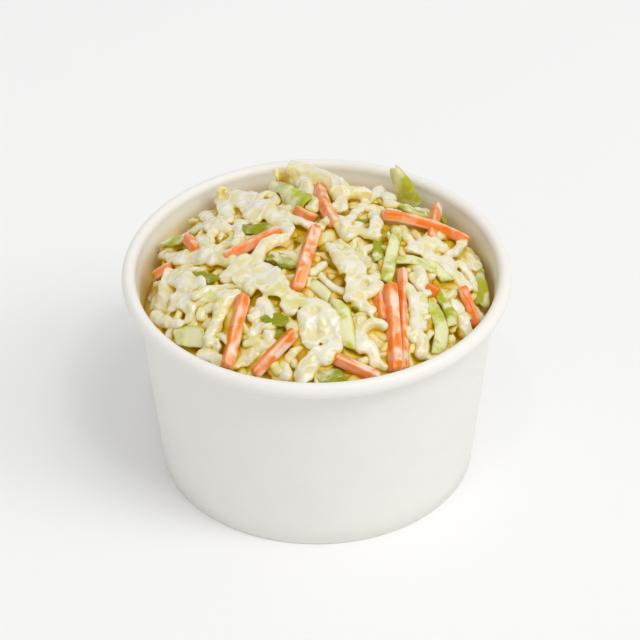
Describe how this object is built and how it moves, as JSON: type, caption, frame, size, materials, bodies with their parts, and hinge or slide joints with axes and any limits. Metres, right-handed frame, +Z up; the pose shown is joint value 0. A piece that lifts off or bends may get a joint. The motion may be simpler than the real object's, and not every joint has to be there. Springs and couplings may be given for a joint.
{
  "type": "coleslaw cup",
  "caption": "Round white paper cup with a rolled rim, filled above the brim with dressed coleslaw of cabbage, carrot and green leaf.",
  "frame": {"origin": "on the cup's axis, at the level of the foot ring it stands on", "axes": "+Z up along the cup's axis; the wall's glued seam faces +Y, and the heap is seen from -Y"},
  "size_m": [0.09, 0.09, 0.0617],
  "materials": {
    "paper": "matt, lightly coated",
    "slaw": "wet and glossy with dressing"
  },
  "bodies": {
    "root": {"cup": "paper", "slaw": "slaw"}
  },
  "joints": []
}
